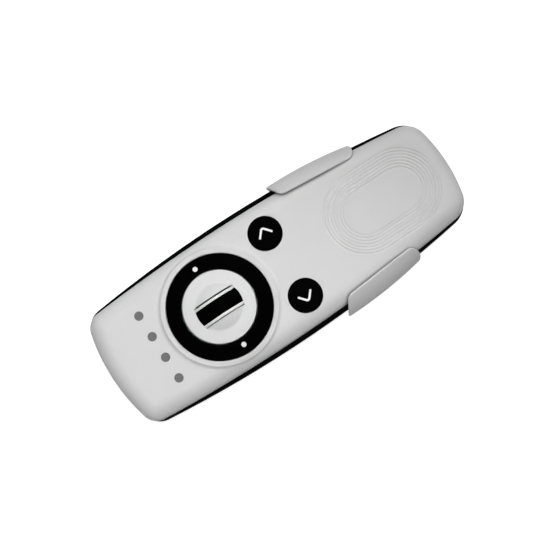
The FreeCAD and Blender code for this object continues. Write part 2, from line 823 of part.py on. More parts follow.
def wheel_encoder():
    """Rotary encoder that counts the wheel's turns, with the axle in its rotor."""
    half = encoder_width / 2
    y1 = -slot_half_width
    case = block(dial_x - half, dial_x + half, y1 - encoder_thickness, y1, board_top_z,
                 board_top_z + encoder_height)
    corners = [edge for edge in case.Edges
               if edge.BoundBox.YLength > encoder_thickness - 0.01
               and edge.BoundBox.ZMin > board_top_z + 1]
    case = case.makeFillet(encoder_width / 6, corners)
    return only(case.cut(axle_hole(y1 - axle_bite - axle_end_play, y1 + 1)))


# Rocker bearings and switches

def rocker_cradle():
    """Ring on the board with one bearing block at each end of the tilt axis."""
    pivot_z = board_top_z + rocker_bottom_gap + ring_flange_thickness / 2
    inner = disc_radius + cradle_inner_gap
    ring = annulus(inner, inner + cradle_ring_width, board_top_z, board_top_z + cradle_plate, dial_x)
    near = ring_outer_radius + ring_flange_width + cradle_gap
    far = near + cradle_block_length
    half = cradle_block_width / 2
    top = pivot_z + trunnion_radius + bearing_wall
    for side in (1, -1):
        reach = sorted((dial_x + side * (inner + cradle_ring_width / 2), dial_x + side * far))
        arm = block(reach[0], reach[1], -half, half, board_top_z, board_top_z + cradle_plate)
        ends = sorted((dial_x + side * near, dial_x + side * far))
        bearing = block(ends[0], ends[1], -half, half, board_top_z, top)
        hole = Part.makeCylinder(trunnion_radius + running_clearance, cradle_block_length + 2,
                                 Vector(ends[0] - 1, 0, pivot_z), ALONG)
        ring = ring.fuse(arm).fuse(bearing).cut(hole)
    ring = ring.cut(wheel_cylinder(wheel_radius + wheel_relief, slot_half_width))
    return only(ring.removeSplitter())


def tact_switch(y):
    """Low switch under the rocker ring, on one side of the tilt axis."""
    half = switch_size / 2
    case = block(dial_x - half, dial_x + half, y - half, y + half, board_top_z,
                 board_top_z + switch_height)
    plunger = cylinder(plunger_radius, board_top_z + switch_height,
                       board_top_z + switch_height + plunger_height, dial_x, y)
    return only(case.fuse(plunger))


# Push buttons

def chevron(y, outward, bottom, top):
    """Arrow stroke with a bent tip and round ends that points away from the body's middle."""
    half = chevron_stroke / 2
    ahead = Vector(0, outward, 0)
    tip = Vector(button_x, y, bottom) + ahead * (chevron_base + chevron_height)
    lean = math.atan2(chevron_half_width, chevron_height)
    centre = tip - ahead * (chevron_bend / math.sin(lean))
    rims = []
    for side in (-1, 1):
        end = Vector(button_x + side * chevron_half_width, y, bottom) + ahead * chevron_base
        run = (end - tip).normalize()
        knee = tip + run * (chevron_bend / math.tan(lean))
        out = (knee - centre).normalize() * half
        rims.append((knee + out, end + out, end + run * half, end - out, knee - out))
    left, right = rims
    outline = Part.Wire([
        Part.makeLine(left[1], left[0]),
        Part.Arc(left[0], centre + ahead * (chevron_bend + half), right[0]).toShape(),
        Part.makeLine(right[0], right[1]),
        Part.Arc(right[1], right[2], right[3]).toShape(),
        Part.makeLine(right[3], right[4]),
        Part.Arc(right[4], centre + ahead * (chevron_bend - half), left[4]).toShape(),
        Part.makeLine(left[4], left[3]),
        Part.Arc(left[3], left[2], left[1]).toShape(),
    ])
    return Part.Face(outline).extrude(UP * (top - bottom))


def push_button(y, outward):
    """Round button cap with its flange and stem, and the arrow inlaid in its face."""
    radius = button_hole_radius - button_gap
    top = face_z + button_proud
    flange_top = cover_inner_z - button_top_gap
    flange_bottom = flange_top - button_flange_thickness
    dome_top = board_top_z + dome_height
    cap = cylinder(radius, flange_bottom, top, button_x, y)
    cap = cap.makeFillet(button_edge_radius, edges_at(cap, top))
    flange = cylinder(radius + button_flange_width, flange_bottom, flange_top, button_x, y)
    stem = cylinder(button_stem_radius, dome_top, flange_bottom + stem_root, button_x, y)
    arrow = chevron(y, outward, top - chevron_depth, top)
    cap = cap.fuse([flange, stem]).cut(arrow)
    return only(cap.removeSplitter()), arrow


def spring_dome(y):
    """Silicone dome that carries a button and springs it back."""
    return Part.makeCone(dome_foot_radius, dome_top_radius, dome_height,
                         Vector(button_x, y, board_top_z), UP)


# Lamps

def led_window(x, y):
    """Light pipe from just above the LED to the front face, with a collar behind the wall."""
    bottom = board_top_z + led_height + lamp_gap
    pipe = cylinder(lamp_radius - lamp_clearance, bottom, face_z + lamp_proud, x, y)
    collar = cylinder(lamp_radius + lamp_collar_width, cover_inner_z - lamp_collar_height,
                      cover_inner_z, x, y)
    return only(pipe.fuse(collar).removeSplitter())


def led_chip(x, y):
    """Surface-mounted LED on the board."""
    return block(x - led_length / 2, x + led_length / 2, y - led_width / 2, y + led_width / 2,
                 board_top_z, board_top_z + led_height)


# Board, coil and battery

def circuit_board():
    """Board with the wheel's slot and its screw holes."""
    board = plan_slab(housing_plan, housing_rim + board_margin, board_z, board_top_z)
    board = board.common(block(board_left_x, board_right_x, -housing_half_width,
                               housing_half_width, board_z, board_top_z))
    reach = wheel_radius + wheel_relief
    cuts = [block(dial_x - reach, dial_x + reach, -slot_half_width, slot_half_width,
                  board_z - 1, board_top_z + 1)]
    cuts += [cylinder(board_screw_radius + board_hole_clearance, board_z - 1, board_top_z + 1, x, y)
             for x, y in board_screw_places]
    return only(board.cut(cuts))


def battery_cell():
    """Flat lithium cell on the floor of the black shell."""
    half = battery_length / 2
    cell = block(battery_x - half, battery_x + half, -battery_width / 2, battery_width / 2,
                 floor_z, floor_z + battery_height)
    return cell.makeFillet(battery_fold, [edge for edge in cell.Edges
                                          if edge.BoundBox.XLength > battery_length - 0.01])


def controller_module():
    """Radio and processor under one shielding can."""
    half = module_length / 2
    can = block(module_x - half, module_x + half, -module_width / 2, module_width / 2,
                board_top_z, board_top_z + module_height)
    return can.makeFillet(module_height / 4, edges_at(can, board_top_z + module_height))


def battery_connector():
    """Battery socket on the underside of the board."""
    half = connector_length / 2
    return block(connector_x - half, connector_x + half, connector_y - connector_width / 2,
                 connector_y + connector_width / 2, board_z - connector_height, board_z)


# Holder

def remote_envelope():
    """Room for the remote in the holder, with clearance all round."""
    room = holder_clearance
    low = plan_slab(housing_plan, -room, back_z - room, parting_z + room,
                    bottom_radius=housing_back_radius + room)
    high = plan_slab(cover_plan, -room, board_top_z, face_z + room,
                     top_radius=cover_edge_radius + room)
    return low.fuse(high)


def arm_bar():
    """Bar along the black shell's side: straight back, upright wall, large rounded front."""
    wall_y = side_y(housing_plan, arm_widest_x) + holder_clearance + arm_wall
    inner_y = wall_y - arm_depth
    crown_z = face_z + arm_rise
    low = pad_thickness

    def spot(y, z):
        return Vector(arm_widest_x, y, z)

    def quarter(centre_y, centre_z, radius, turn):
        angle = math.radians(turn)
        return spot(centre_y + radius * math.cos(angle), centre_z + radius * math.sin(angle))

    back = (wall_y - arm_back_radius, low + arm_back_radius, arm_back_radius)
    front = (wall_y - arm_front_radius, crown_z - arm_front_radius, arm_front_radius)
    outline = Part.Wire([
        Part.makeLine(spot(inner_y, low), quarter(*back, -90)),
        Part.Arc(quarter(*back, -90), quarter(*back, -45), quarter(*back, 0)).toShape(),
        Part.makeLine(quarter(*back, 0), quarter(*front, 0)),
        Part.Arc(quarter(*front, 0), quarter(*front, 45), quarter(*front, 90)).toShape(),
        Part.makeLine(quarter(*front, 90), spot(inner_y, crown_z)),
        Part.makeLine(spot(inner_y, crown_z), spot(inner_y, low)),
    ])
    section = Part.Face(outline)
    axis = Vector(arm_widest_x, wall_y - arm_side_radius, 0)
    sweep = math.degrees(math.asin(arm_length / arm_side_radius))
    section.rotate(axis, UP, sweep)
    return section.revolve(axis, UP, -2 * sweep)


def arm_outline():
    """Seen from the front: slanted left end, long lip and rounded inner corners."""
    lip_x = arm_left_x + arm_slant
    lip_y = side_y(cover_plan, lip_x) - lip_reach_left
    lip_to_wall = housing_half_width + arm_wall - lip_y
    beyond = housing_half_width + 2 * lip_to_wall
    lean = arm_slant * (beyond - lip_y) / lip_to_wall
    tail_y = side_y(housing_plan, arm_right_x) + arm_wall - arm_tail
    points = [(lip_x - lean, beyond),
              (lip_x, lip_y),
              (arm_right_x, side_y(cover_plan, arm_right_x) - lip_reach_right),
              (arm_right_x, tail_y),
              (arm_right_x - (beyond - tail_y), beyond)]
    radii = [arm_corner_radius] * 3 + [arm_tail_radius] * 2
    wire = rounded_outline(points, radii, 0)
    return Part.Face(wire).extrude(UP * (face_z + 2 * arm_rise))


def arm():
    """Upper gripping arm with its lip edge rounded over."""
    bar = arm_bar()
    body = only(bar.common(arm_outline()).cut(remote_envelope()))

    def on_front(point):
        off = min(face.distToShape(Part.Vertex(point))[0] for face in bar.Faces)
        return point.z > parting_z and off < 1e-3

    lip = [edge for edge in body.Edges if all(on_front(point) for point in edge_points(edge))]
    return body.makeFillet(lip_round, lip)


def bridge():
    """Strip across the back that joins the two arms, with its ends rounded up into them."""
    start_x = arm_left_x + arm_slant
    start_y = side_y(cover_plan, start_x) - lip_reach_left + bridge_overlap
    end_y = side_y(cover_plan, arm_right_x) - lip_reach_right + bridge_overlap
    corners = [(start_x, -start_y), (arm_right_x, -end_y), (arm_right_x, end_y), (start_x, start_y),
               (start_x, -start_y)]
    outline = Part.makePolygon([Vector(x, y, pad_thickness) for x, y in corners])
    strip = Part.Face(outline).extrude(UP * plate_thickness)
    ends = [edge for edge in edges_at(strip, pad_thickness)
            if abs(edge.CenterOfMass.y) > plate_half_width]
    return strip.makeFillet(bridge_end_radius, ends)


def holder():
    """Light grey cradle: back plate and two arms that lip over the front cover."""
    upper = arm()
    arms = upper.fuse(upper.mirror(Vector(0, 0, 0), ACROSS))
    plate = rounded_box(plate_left_x, plate_right_x, -plate_half_width, plate_half_width,
                        pad_thickness, pad_thickness + plate_thickness, plate_corner)
    return only(arms.fuse([bridge(), plate]))


def adhesive_pad():
    """Foam pad that fixes the holder to a wall or table."""
    return rounded_box(plate_left_x + pad_border, plate_right_x - pad_border,
                       pad_border - plate_half_width, plate_half_width - pad_border,
                       0, pad_thickness, pad_corner)


def main():
    os.makedirs("parts", exist_ok=True)

    save(front_cover(), "front_cover")
    save(rear_housing(), "rear_housing")
    save(housing_seal(), "housing_seal")
    save(screws(housing_screw_places, screw_head_radius, screw_head_height, screw_shank_radius,
                back_z + screw_recess_depth, skirt_z + screw_bite - back_z - screw_recess_depth,
                False), "housing_screws")

    ring, dots = ring_and_dots()
    save(ring, "rocker_ring")
    for name, dot in dots.items():
        save(dot, name)
    save(rocker_cradle(), "rocker_cradle")
    save(tact_switch(switch_offset), "rocker_switch_upper")
    save(tact_switch(-switch_offset), "rocker_switch_lower")

    save(dial_disc(), "dial_disc")
    save(wheel_hub(), "wheel_hub")
    save(wheel_tread(), "wheel_tread")
    save(wheel_axle(), "wheel_axle")
    save(axle_bracket(), "axle_bracket")
    save(wheel_encoder(), "wheel_encoder")

    for name, y, outward in button_places():
        cap, arrow = push_button(y, outward)
        save(cap, name + "_button")
        save(arrow, name + "_chevron")
        save(spring_dome(y), name + "_dome")

    for number, (x, y) in enumerate(lamp_places(), 1):
        save(led_window(x, y), "led_window_%d" % number)
        save(led_chip(x, y), "led_chip_%d" % number)

    save(circuit_board(), "circuit_board")
    save(screws(board_screw_places, board_screw_head_radius, board_screw_head_height,
                board_screw_radius, board_top_z, board_screw_length, True), "board_screws")
    save(controller_module(), "controller_module")
    save(battery_connector(), "battery_connector")
    save(battery_cell(), "battery_cell")

    coil_outer = coil_half_height - coil_margin
    coil_low = cover_inner_z - coil_thickness
    save(racetrack_ring(coil_outer, coil_band, coil_low, cover_inner_z), "coil_antenna")
    save(racetrack_ring(coil_outer + ferrite_margin, coil_band + 2 * ferrite_margin,
                        coil_low - ferrite_thickness, coil_low), "ferrite_sheet")

    save(holder(), "holder")
    save(adhesive_pad(), "adhesive_pad")


main()
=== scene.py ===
# %% [markdown]
# # A smart remote control in its slide-in holder
# The real object is a palm-sized remote: a light grey front cover on a black rear shell, a black
# rocker ring with a thumb wheel in its middle, two round push buttons, four small lamps, and a
# racetrack relief that shows where a flat coil sits. A grey holder grips it with two arms.
# The solid pieces come from the CAD model. They could be modelled again in Blender, but their
# shapes are already exact, so this lesson only gives them their finishes, the studio light and
# the camera, until the render looks like a product photograph.

import math

import bpy
from mathutils import Matrix, Vector


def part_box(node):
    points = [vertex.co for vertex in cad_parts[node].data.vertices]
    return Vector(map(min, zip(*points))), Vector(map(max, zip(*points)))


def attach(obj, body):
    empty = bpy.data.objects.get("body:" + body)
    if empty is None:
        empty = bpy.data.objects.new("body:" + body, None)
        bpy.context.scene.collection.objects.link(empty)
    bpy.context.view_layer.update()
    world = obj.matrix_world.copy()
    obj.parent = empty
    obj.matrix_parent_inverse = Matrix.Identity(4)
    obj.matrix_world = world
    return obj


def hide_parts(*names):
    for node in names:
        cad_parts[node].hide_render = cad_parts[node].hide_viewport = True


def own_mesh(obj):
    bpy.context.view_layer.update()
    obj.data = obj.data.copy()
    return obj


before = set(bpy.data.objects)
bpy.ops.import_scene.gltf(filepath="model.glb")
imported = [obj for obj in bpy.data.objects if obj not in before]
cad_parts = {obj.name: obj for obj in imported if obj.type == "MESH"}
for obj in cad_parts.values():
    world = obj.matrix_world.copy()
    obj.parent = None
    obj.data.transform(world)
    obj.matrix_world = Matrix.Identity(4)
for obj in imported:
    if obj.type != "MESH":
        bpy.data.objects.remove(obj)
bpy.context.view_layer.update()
MM = 0.001

# %% [markdown]
# ## Starting a material
# Every finish in this lesson is a small node tree round one Principled shader. Trees can be wired
# by hand in the shader editor. Here two helpers write them, so that each finish stays a few
# readable lines and comes out the same on every run.


# %% Helpers that start a material
def new_material(name):
    """An empty node material with a Principled shader wired to the output."""
    material = bpy.data.materials.new(name)
    material.use_nodes = True
    tree = material.node_tree
    tree.nodes.clear()
    shader = tree.nodes.new("ShaderNodeBsdfPrincipled")
    output = tree.nodes.new("ShaderNodeOutputMaterial")
    tree.links.new(shader.outputs["BSDF"], output.inputs["Surface"])
    return material, tree, shader


def node(tree, kind, **settings):
    """A new node with settings, where lower-case names are properties and others are sockets."""
    made = tree.nodes.new("ShaderNode" + kind)
    for key, value in settings.items():
        if key[0].islower():
            setattr(made, key, value)
        else:
            made.inputs[key.replace("_", " ")].default_value = value
    return made


print("helpers made: new_material and node")

# %% [markdown]
# ## Unevenness from noise
# Moulded plastic is never one flat colour. The steel mould is spark-eroded or sand-blasted, which
# leaves a fine grain, and the melt flows unevenly, which leaves faint cloudy differences. A
# photograph of a surface could be wrapped round the pieces, but noise needs no picture and never
# repeats. It is laid out in the object's own millimetres, so it stays put when the camera moves.

# %% Helpers for noise
NOISE_LOW = 0.3
NOISE_HIGH = 0.7


def noise(tree, size_mm, detail):
    """Noise whose blotches are about size_mm wide on the object."""
    place = node(tree, "TexCoord")
    made = node(tree, "TexNoise", Scale=1 / (size_mm * MM), Detail=detail)
    tree.links.new(place.outputs["Object"], made.inputs["Vector"])
    return made.outputs["Fac"]


def shade_range(tree, source, dark, light):
    """A ramp that turns noise into colours between dark and light."""
    ramp = node(tree, "ValToRGB")
    first, last = ramp.color_ramp.elements
    first.position = NOISE_LOW
    first.color = (*dark, 1)
    last.position = NOISE_HIGH
    last.color = (*light, 1)
    tree.links.new(source, ramp.inputs["Fac"])
    return ramp.outputs["Color"]


def value_range(tree, source, low, high):
    """Noise mapped to numbers between low and high."""
    mapped = node(tree, "MapRange", From_Min=NOISE_LOW, From_Max=NOISE_HIGH, To_Min=low, To_Max=high)
    tree.links.new(source, mapped.inputs["Value"])
    return mapped.outputs["Result"]


print("noise between", NOISE_LOW, "and", NOISE_HIGH, "spans the whole range of a finish")

# %% [markdown]
# ## The moulded finish
# One recipe serves almost every piece, because almost every piece is moulded. Large soft clouds
# shift the shade by a hundredth or so and the roughness by a little more, and a fine grain of two
# thousandths of a millimetre breaks up the highlights. The grain is a bump and not real geometry,
# since nobody can see its outline. Metal parts and coatings use the same recipe with other numbers.

# %% The moulded finish
ROUGHNESS_UNEVEN = 0.04


def scaled(colour, factor):
    """A colour made lighter or darker by a factor."""
    return tuple(channel * factor for channel in colour)


def moulded(name, colour, roughness, gloss=0.5, index=1.5, metal=0.0, cloud=0.01, cloud_mm=9.0,
            grain_mm=0.25, grain_height_mm=0.002):
    """A moulded or coated finish: cloudy shade, uneven shine and a fine surface grain."""
    material, tree, shader = new_material(name)
    clouds = noise(tree, cloud_mm, detail=3.0)
    shade = shade_range(tree, clouds, scaled(colour, 1 - cloud), scaled(colour, 1 + cloud))
    tree.links.new(shade, shader.inputs["Base Color"])
    shine = value_range(tree, clouds, roughness - ROUGHNESS_UNEVEN, roughness + ROUGHNESS_UNEVEN)
    tree.links.new(shine, shader.inputs["Roughness"])
    bump = node(tree, "Bump", Strength=1.0, Distance=grain_height_mm * MM)
    tree.links.new(noise(tree, grain_mm, detail=4.0), bump.inputs["Height"])
    tree.links.new(bump.outputs["Normal"], shader.inputs["Normal"])
    shader.inputs["Specular IOR Level"].default_value = gloss
    shader.inputs["IOR"].default_value = index
    shader.inputs["Metallic"].default_value = metal
    return material


def paint(material, *names):
    """Gives a material to the CAD nodes of these names."""
    for name in names:
        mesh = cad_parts[name].data
        mesh.materials.clear()
        mesh.materials.append(material)
    print(material.name, "on", len(names), "pieces:", ", ".join(names))


print("roughness varies by", ROUGHNESS_UNEVEN, "to each side")

# %% [markdown]
# ## Front cover and holder
# Both are light grey plastic with a fine satin texture. Satin spreads the reflection of the soft
# lamps so widely that the face looks almost evenly lit, and only the rounded shoulders darken. So
# the roughness is high and the gloss low. The holder is a separate moulding and looks a touch
# darker, so it gets a grey of its own.

# %% Front cover and holder
cover_grey = moulded("cover_grey", (0.69, 0.69, 0.69), roughness=0.62, gloss=0.25)
paint(cover_grey, "front_cover")
holder_grey = moulded("holder_grey", (0.66, 0.66, 0.66), roughness=0.62, gloss=0.25)
paint(holder_grey, "holder")

# %% [markdown]
# ## Shade in creases
# Little light gets between an arm and the cover, or into the fine grooves of the relief, so a thin
# dark line shows there. It could be painted by hand along every crease. An Ambient Occlusion node
# finds the creases by itself: it tells how open the surface is within a small reach, and a Map
# Range node turns the closed places into a mask that mixes in a darker grey.


# %% Shade in creases
def mix_in(material, mask, colour):
    """Puts a colour over the material's own colour where the mask is 1."""
    tree = material.node_tree
    shader = tree.nodes["Principled BSDF"]
    outer = shader.inputs["Base Color"].links[0].from_socket
    choice = node(tree, "MixRGB", Color2=(*colour, 1))
    tree.links.new(mask, choice.inputs["Fac"])
    tree.links.new(outer, choice.inputs["Color1"])
    tree.links.new(choice.outputs["Color"], shader.inputs["Base Color"])


def shade_creases(material, reach_mm, shut, open_air, dark):
    """Darkens the colour where a gap or a close wall keeps the light out."""
    tree = material.node_tree
    crease = node(tree, "AmbientOcclusion", samples=16, Distance=reach_mm * MM)
    depth = node(tree, "MapRange", From_Min=shut, From_Max=open_air, To_Min=1.0, To_Max=0.0)
    tree.links.new(crease.outputs["AO"], depth.inputs["Value"])
    mix_in(material, depth.outputs["Result"], dark)
    print(material.name, "darkens within", reach_mm, "mm of a close wall")


CREASE_GREY = (0.27, 0.27, 0.27)
shade_creases(cover_grey, reach_mm=1.4, shut=0.3, open_air=0.86, dark=CREASE_GREY)
shade_creases(holder_grey, reach_mm=1.2, shut=0.25, open_air=0.7, dark=CREASE_GREY)

# %% [markdown]
# ## Painted shade by place
# The wall of a narrow gap looks black from outside, because hardly any light comes back out of it.
# That shade is painted here as a dark colour. The wall belongs to the same solid as the bright face,
# so a material of its own would mean picking out its faces by hand. A mask that is 1 only at a
# certain place puts the painted shade just there. The place is measured in plan, as seen from
# straight above.


# %% Helpers for a place in plan
def plan_offset(tree, x, y):
    """The surface point's place in plan, measured from x and y."""
    place = node(tree, "TexCoord")
    flat = node(tree, "VectorMath", operation="MULTIPLY_ADD")
    flat.inputs[1].default_value = (1, 1, 0)
    flat.inputs[2].default_value = (-x, -y, 0)
    tree.links.new(place.outputs["Object"], flat.inputs[0])
    return flat.outputs["Vector"]


def inside_radius(tree, offset, radius):
    """1 where the plan offset is shorter than the radius."""
    reach = node(tree, "VectorMath", operation="LENGTH")
    tree.links.new(offset, reach.inputs[0])
    within = node(tree, "Math", operation="LESS_THAN")
    within.inputs[1].default_value = radius
    tree.links.new(reach.outputs["Value"], within.inputs[0])
    return within.outputs["Value"]


print("helpers made: plan_offset and inside_radius")

# %% [markdown]
# ## Button holes
# Each round button moves in a hole with a quarter of a millimetre of air round it. In the real
# remote this gap lies in shade, and it reads as one dark disc with the black button. That shade is
# painted: the hole's wall and a hair of the hole's rim get a near-black colour, so that no bright
# line is left between them.

# %% Button holes
# painted shade: the near-black colour given to the walls of narrow gaps, which are really only in
# shade
PAINTED_GAP_SHADE = (0.006, 0.006, 0.006)
HOLE_REACH = 5.36 * MM


def darken_hole(material, button):
    """Paints shade on the wall and a hair of the rim of a button's hole, so that it reads as a dark
    gap.
    """
    low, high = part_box(button)
    tree = material.node_tree
    offset = plan_offset(tree, (low.x + high.x) / 2, (low.y + high.y) / 2)
    # painted shade: the hole's wall and a hair of its rim turn near-black
    mix_in(material, inside_radius(tree, offset, HOLE_REACH), PAINTED_GAP_SHADE)
    print("dark hole wall round", button)


darken_hole(cover_grey, "upper_button")
darken_hole(cover_grey, "lower_button")

# %% [markdown]
# ## Centre disc and thumb wheel
# The disc in the middle of the ring is a slightly shinier grey cap. The wheel that stands out of
# its slot has a light grey hub, whose two shoulders show on either side of the black tread.
# Both are handled all the time and feel smoother than the cover, so their roughness is lower.

# %% Centre disc and wheel hub
dial_grey = moulded("dial_grey", (0.70, 0.70, 0.70), roughness=0.5, gloss=0.3)
paint(dial_grey, "dial_disc")
wheel_grey = moulded("wheel_grey", (0.82, 0.82, 0.82), roughness=0.5, gloss=0.15)
paint(wheel_grey, "wheel_hub")

# %% [markdown]
# ## The slot beside the wheel
# The wheel has a narrow gap on both sides. The upper one lies in shade and reads as a crisp dark
# line, while light falls into the lower one and it hardly shows. So shade is painted on the upper
# gap only: a near-black band over its wall, the edge of the cap beside it and the edge of the hub.
# It is straight and not round, so its mask is a reach along the body times a reach across it.


# %% Painted shade on the slot's upper side
def inside_band(tree, offset, half_width):
    """1 where the plan offset's Y is within half a width of 0."""
    parts = node(tree, "SeparateXYZ")
    tree.links.new(offset, parts.inputs["Vector"])
    within = node(tree, "Math", operation="COMPARE")
    within.inputs[1].default_value = 0
    within.inputs[2].default_value = half_width
    tree.links.new(parts.outputs["Y"], within.inputs[0])
    return within.outputs["Value"]


SLOT_HALF_LENGTH = 6.2 * MM
hub_low, hub_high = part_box("wheel_hub")
wheel_x = (hub_low.x + hub_high.x) / 2


def darken_slot_side(material, half_width):
    """Paints shade as a near-black line of this half width along the wheel's upper gap."""
    tree = material.node_tree
    offset = plan_offset(tree, wheel_x, hub_high.y)
    both = node(tree, "Math", operation="MULTIPLY")
    tree.links.new(inside_radius(tree, offset, SLOT_HALF_LENGTH), both.inputs[0])
    tree.links.new(inside_band(tree, offset, half_width), both.inputs[1])
    # painted shade: a near-black band along the wheel's upper gap
    mix_in(material, both.outputs["Value"], PAINTED_GAP_SHADE)
    print("dark line", round(half_width / MM, 2), "mm to each side on", material.name)


darken_slot_side(dial_grey, half_width=0.38 * MM)
darken_slot_side(wheel_grey, half_width=0.12 * MM)

# %% [markdown]
# ## Black pieces
# The rear shell, the ring and the buttons are black plastic with a matt coat, and the wheel's
# tread is black rubber. Seen straight on they send back almost nothing, and seen along the
# surface they still shine. A dark colour at the usual gloss would look grey from above. A low
# refractive index gives the real look: its reflection is close to nothing from the front and
# grows only at a grazing angle, which keeps the sides readable.

# %% Black pieces
DEEP_BLACK = (0.0006, 0.0006, 0.0006)
SATIN_INDEX = 1.035
shell_black = moulded("shell_black", scaled(DEEP_BLACK, 1.3), roughness=0.38, index=SATIN_INDEX,
                      cloud=0.15)
paint(shell_black, "rear_housing")
ring_black = moulded("ring_black", DEEP_BLACK, roughness=0.38, index=SATIN_INDEX, cloud=0.15)
paint(ring_black, "rocker_ring")
button_black = moulded("button_black", DEEP_BLACK, roughness=0.5, index=SATIN_INDEX, cloud=0.15)
paint(button_black, "upper_button", "lower_button")
tread_black = moulded("tread_black", DEEP_BLACK, roughness=0.5, index=SATIN_INDEX, cloud=0.15)
paint(tread_black, "wheel_tread")
seal_black = moulded("seal_black", (0.003, 0.003, 0.003), roughness=0.8, gloss=0.03, cloud=0.15)
paint(seal_black, "housing_seal")

# %% [markdown]
# ## White marks
# The two dots on the ring and the chevrons on the buttons are white plastic, moulded into the
# black in a second shot. Printed ink would be flat and would need a picture or a decal. Here
# each mark is a solid of its own, so it only needs a white finish with clouds of its own small
# size.

# %% White marks
mark_white = moulded("mark_white", (0.86, 0.86, 0.86), roughness=0.45, gloss=0.3, cloud_mm=0.8)
paint(mark_white, "ring_dot_upper", "ring_dot_lower", "upper_chevron", "lower_chevron")

# %% [markdown]
# ## Lamp windows
# Four round windows of smoky plastic let the light of the small lamps through. While the lamps
# are off they look an even mid grey. Real transparency would show the dark inside and cost
# render time, and a mid grey moulded finish gives the same look.

# %% Lamp windows
lamp_grey = moulded("lamp_grey", (0.17, 0.17, 0.17), roughness=0.5, gloss=0.06, cloud=0.06,
                    cloud_mm=0.9)
paint(lamp_grey, "led_window_1", "led_window_2", "led_window_3", "led_window_4")

# %% [markdown]
# ## The board and what sits on it
# Nobody sees these pieces while the remote is closed, but anyone who takes it apart does. The
# board wears a green solder mask, its chips sit under a metal can, and the small lamps and the
# battery's socket are white plastic. The same recipe makes them all, with metal turned up for
# the can.

# %% Board pieces
board_green = moulded("board_green", (0.02, 0.12, 0.05), roughness=0.35, cloud=0.1, cloud_mm=2.0)
paint(board_green, "circuit_board")
can_metal = moulded("can_metal", (0.72, 0.72, 0.74), roughness=0.3, metal=1.0, cloud=0.03)
paint(can_metal, "controller_module")
led_white = moulded("led_white", (0.78, 0.78, 0.70), roughness=0.4)
paint(led_white, "led_chip_1", "led_chip_2", "led_chip_3", "led_chip_4", "battery_connector")
inner_black = moulded("inner_black", (0.02, 0.02, 0.02), roughness=0.5, cloud=0.1)
paint(inner_black, "rocker_switch_upper", "rocker_switch_lower", "wheel_encoder")

# %% [markdown]
# ## Battery and coil
# The battery is wrapped in aluminium foil, which wrinkles softly, so its clouds are small. The
# coil is copper wire and the sheet behind it is dark grey ferrite. A metal shows its colour in
# its reflections only, so copper is a reddish colour with metal at 1. Each turn of the wire could
# be modelled, but the coil is out of sight, and a flat band of copper does.

# %% Battery and coil
cell_foil = moulded("cell_foil", (0.75, 0.75, 0.77), roughness=0.28, metal=1.0, cloud=0.03,
                    cloud_mm=4.0)
paint(cell_foil, "battery_cell")
coil_copper = moulded("coil_copper", (0.72, 0.35, 0.18), roughness=0.35, metal=1.0, cloud=0.06,
                      cloud_mm=0.6)
paint(coil_copper, "coil_antenna")
ferrite_dark = moulded("ferrite_dark", (0.05, 0.05, 0.055), roughness=0.6, cloud=0.1)
paint(ferrite_dark, "ferrite_sheet")

# %% [markdown]
# ## Bearings, screws and pad
# The bearings of the ring and the wheel are unpainted grey plastic, and the axle and the screws
# are bright steel. The pad under the holder is foam. Its open cells could be modelled one by one,
# but a coarser and far deeper grain than a moulded skin has gives the same look.

# %% Bearings, screws and pad
inner_grey = moulded("inner_grey", (0.3, 0.3, 0.31), roughness=0.5)
paint(inner_grey, "rocker_cradle", "axle_bracket")
steel = moulded("steel", (0.6, 0.6, 0.62), roughness=0.3, metal=1.0, cloud=0.03, cloud_mm=0.8)
paint(steel, "housing_screws", "wheel_axle", "board_screws")
pad_foam = moulded("pad_foam", (0.08, 0.08, 0.08), roughness=0.95, cloud=0.15, cloud_mm=0.6,
                   grain_mm=0.5, grain_height_mm=0.05)
paint(pad_foam, "adhesive_pad")

# %% [markdown]
# ## Silicone domes
# Under each button sits a small silicone dome, which is its spring and flattens as the button goes
# down. A rigid CAD solid can't do that. Here a copy of each dome with its own mesh and a silicone
# finish takes the place of the CAD solid and is attached to the remote. A soft body simulation would
# show how the skin buckles, but the dome is out of sight.

# %% Copies of the domes under the buttons
silicone = moulded("silicone", (0.5, 0.5, 0.52), roughness=0.45)


def soft_dome(name):
    """A silicone copy of a dome with its own mesh, attached to the remote in place of the CAD solid.
    """
    dome = bpy.data.objects.new("soft_" + name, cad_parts[name].data.copy())
    bpy.context.collection.objects.link(dome)
    dome.data.materials.clear()
    dome.data.materials.append(silicone)
    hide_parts(name)
    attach(dome, "remote")
    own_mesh(dome)


soft_dome("upper_dome")
soft_dome("lower_dome")

# %% [markdown]
# ## White where the camera looks
# The background of a product picture is pure white. If a lamp made it so, the same light would
# wash out the pale cover. A Light Path node tells the renderer's rays apart: the floor and the
# sky look white to rays that end in the picture, straight or by way of a shiny surface, and stay
# calm for all the rays that light the object.


# %% Rays that end in the picture
def seen(tree):
    """1 for rays from the camera and for those that gloss and glass send on, 0 for others."""
    path = node(tree, "LightPath")
    value = path.outputs["Is Camera Ray"]
    for kind in ("Is Glossy Ray", "Is Transmission Ray"):
        either = node(tree, "Math", operation="MAXIMUM")
        tree.links.new(value, either.inputs[0])
        tree.links.new(path.outputs[kind], either.inputs[1])
        value = either.outputs["Value"]
    return value


print("helper made: seen")

# %% [markdown]
# ## Floor
# The remote lies on a wide pale sheet. A simple plane does, because the sheet has no edge or
# curve in the picture. It throws some light back up, so that the steep sides stay readable, and
# its glow towards the camera stops short of full white, so that the object's shadow is kept.

# %% Floor
FLOOR_SIZE = 6.0
FLOOR_GREY = (0.42, 0.42, 0.42)
FLOOR_GLOW = 0.90


